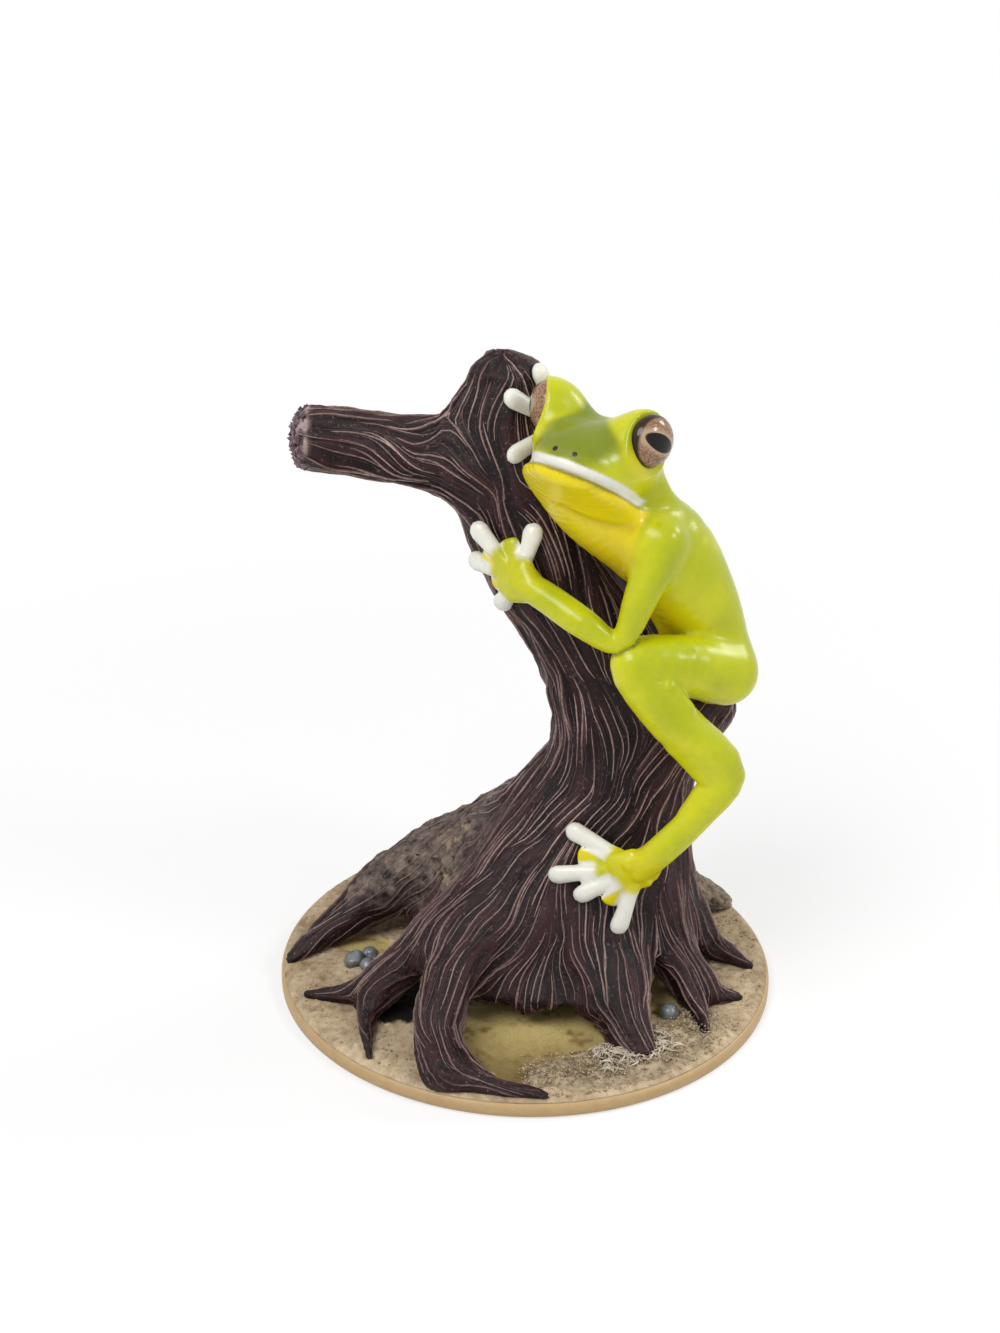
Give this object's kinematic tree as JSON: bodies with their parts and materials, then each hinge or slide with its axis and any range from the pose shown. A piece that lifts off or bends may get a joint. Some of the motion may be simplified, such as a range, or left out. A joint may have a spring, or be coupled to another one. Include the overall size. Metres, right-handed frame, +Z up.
{
  "type": "frog figurine",
  "caption": "Painted resin tree frog clinging to a leaning stump with a side branch and spread roots, on a round sanded base.",
  "frame": {"origin": "middle of the round base's underside", "axes": "+Z up from the base, the frog's face towards -Y, the side branch towards -X"},
  "size_m": [0.1, 0.1, 0.1298],
  "materials": {
    "base_resin": "satin",
    "sand": "matte",
    "grit": "matte",
    "pebble_stone": "matte",
    "bark_paint": "satin",
    "frog_paint": "gloss",
    "eye_glass": "gloss",
    "dowel_steel": "brushed"
  },
  "bodies": {
    "root": {"arm_pins": "dowel_steel", "base_plate": "base_resin", "branch": "bark_paint", "branch_pin": "dowel_steel", "frog_head": "frog_paint", "frog_torso": "frog_paint", "left_eye": "eye_glass", "left_foot": "frog_paint", "left_forearm": "frog_paint", "left_hand": "frog_paint", "left_shin": "frog_paint", "left_tarsus": "frog_paint", "left_thigh": "frog_paint", "left_upper_arm": "frog_paint", "leg_pins": "dowel_steel", "lower_jaw": "frog_paint", "neck_pin": "dowel_steel", "pebbles": "pebble_stone", "right_eye": "eye_glass", "right_foot": "frog_paint", "right_forearm": "frog_paint", "right_hand": "frog_paint", "right_shin": "frog_paint", "right_tarsus": "frog_paint", "right_thigh": "frog_paint", "right_upper_arm": "frog_paint", "root_back": "bark_paint", "root_back_left": "bark_paint", "root_back_right": "bark_paint", "root_front_left": "bark_paint", "root_front_right": "bark_paint", "root_front_toe": "bark_paint", "root_left": "bark_paint", "root_left_fork": "bark_paint", "root_left_prong": "bark_paint", "root_right": "bark_paint", "root_right_front": "bark_paint", "root_right_prong": "bark_paint", "sand_bank": "grit", "sand_bed": "sand", "seat_pin": "dowel_steel", "seat_stub": "bark_paint", "trunk": "bark_paint", "trunk_pin": "dowel_steel"}
  },
  "joints": []
}
